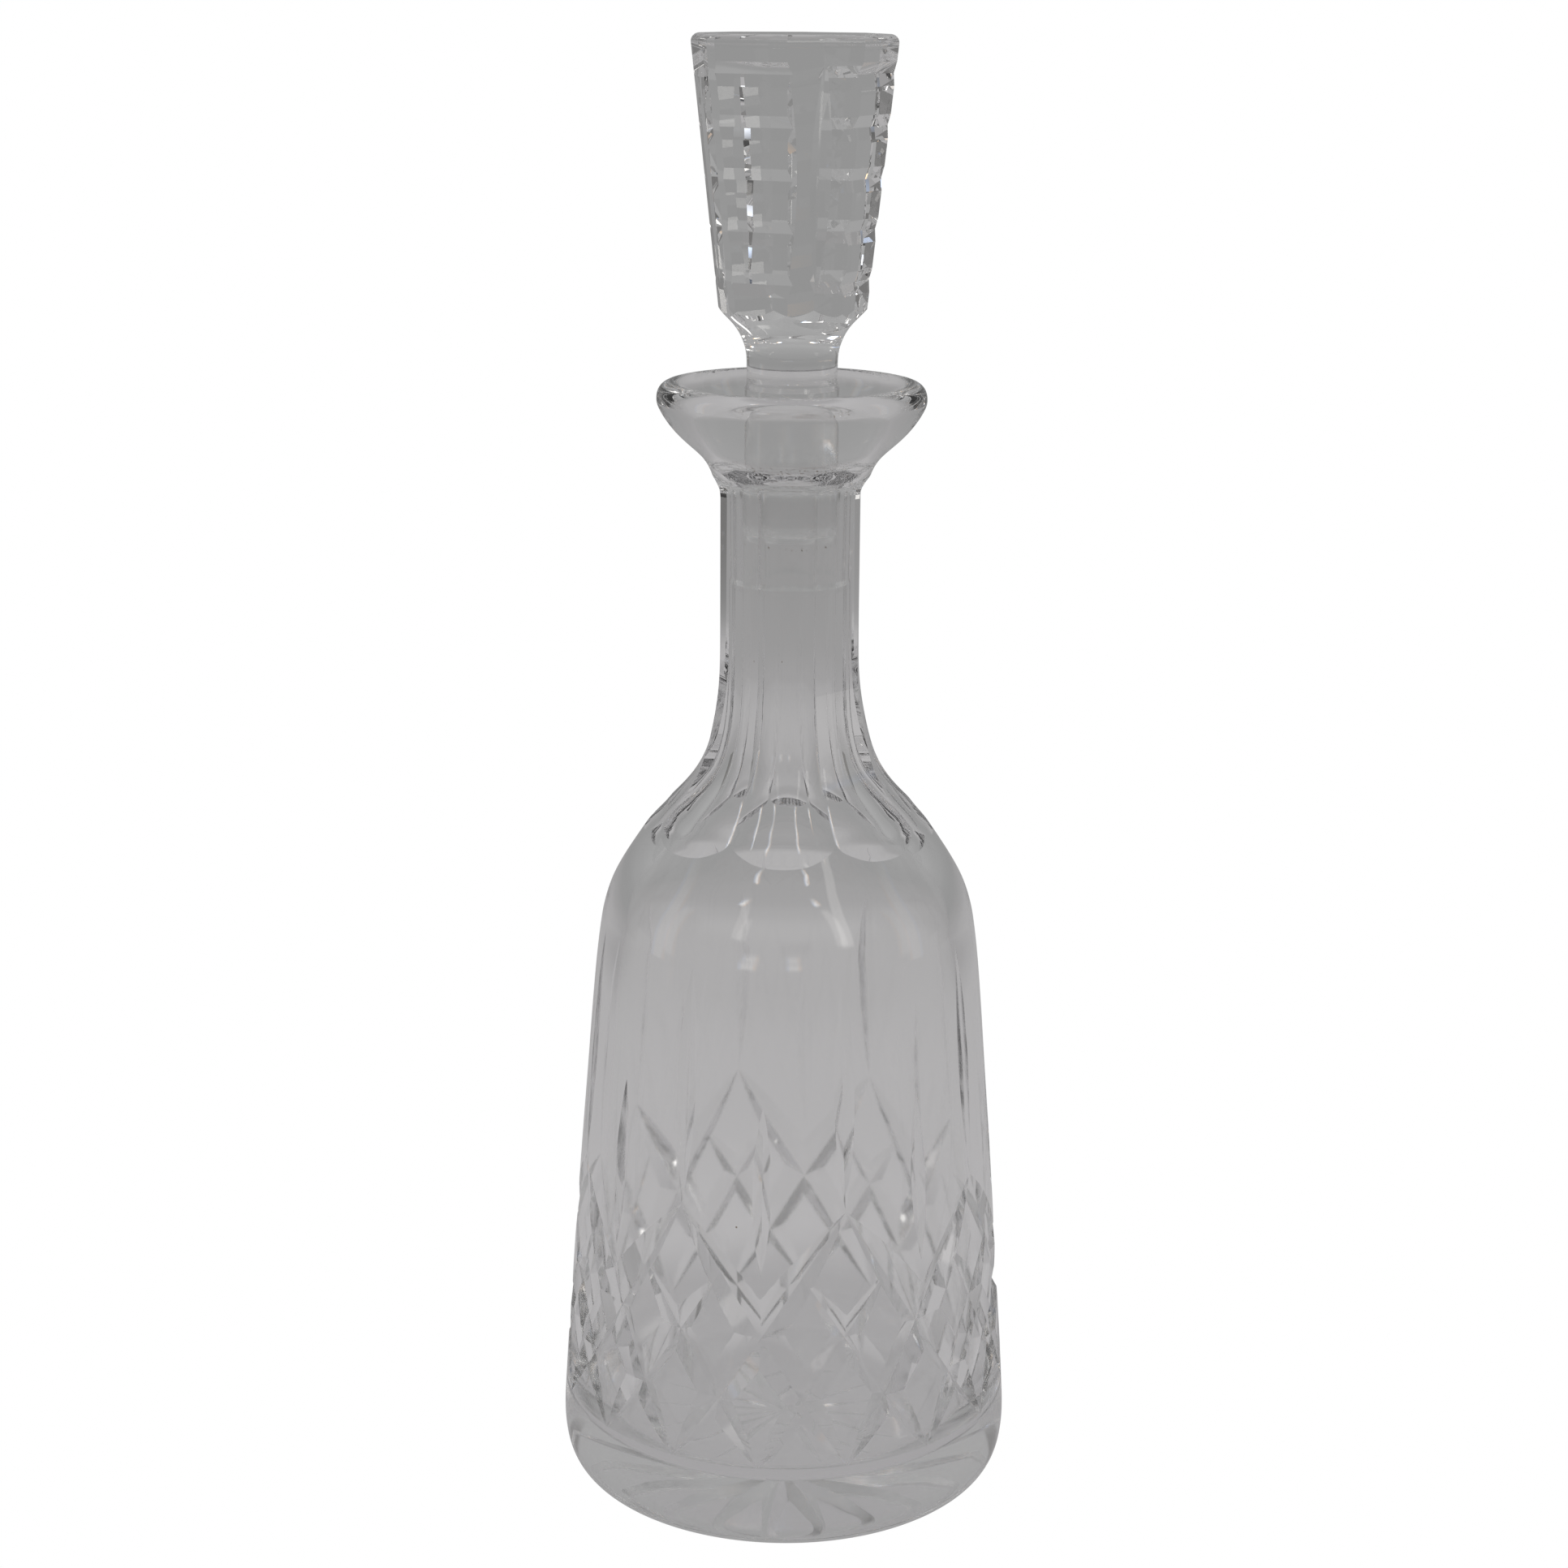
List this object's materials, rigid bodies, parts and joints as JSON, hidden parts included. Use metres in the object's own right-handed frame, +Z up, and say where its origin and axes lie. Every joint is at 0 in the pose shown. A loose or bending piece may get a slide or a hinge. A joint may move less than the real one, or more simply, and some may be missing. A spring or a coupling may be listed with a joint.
{
  "type": "decanter",
  "caption": "Tall cut crystal decanter: crossing diamond cuts low on the body, upright spear cuts, fluted neck, flared pouring lip and a tapered eight-sided lift-out stopper.",
  "frame": {"origin": "middle of the ring the decanter stands on, at table level", "axes": "+Z up along the decanter's axis; -Y runs through one of the eight upright spear cuts"},
  "size_m": [0.1066, 0.1066, 0.3365],
  "materials": {
    "crystal": "polished clear lead crystal, ground seat in the neck",
    "stopper_crystal": "polished clear lead crystal, finely ground plug"
  },
  "bodies": {
    "decanter": {"decanter_body": "crystal"},
    "stopper": {"stopper": "stopper_crystal"}
  },
  "joints": [
    {"name": "stopper_lift", "type": "slide", "parent": "decanter", "child": "stopper", "axis": [0, 0, 1], "range_m": [0, 0.06]}
  ]
}
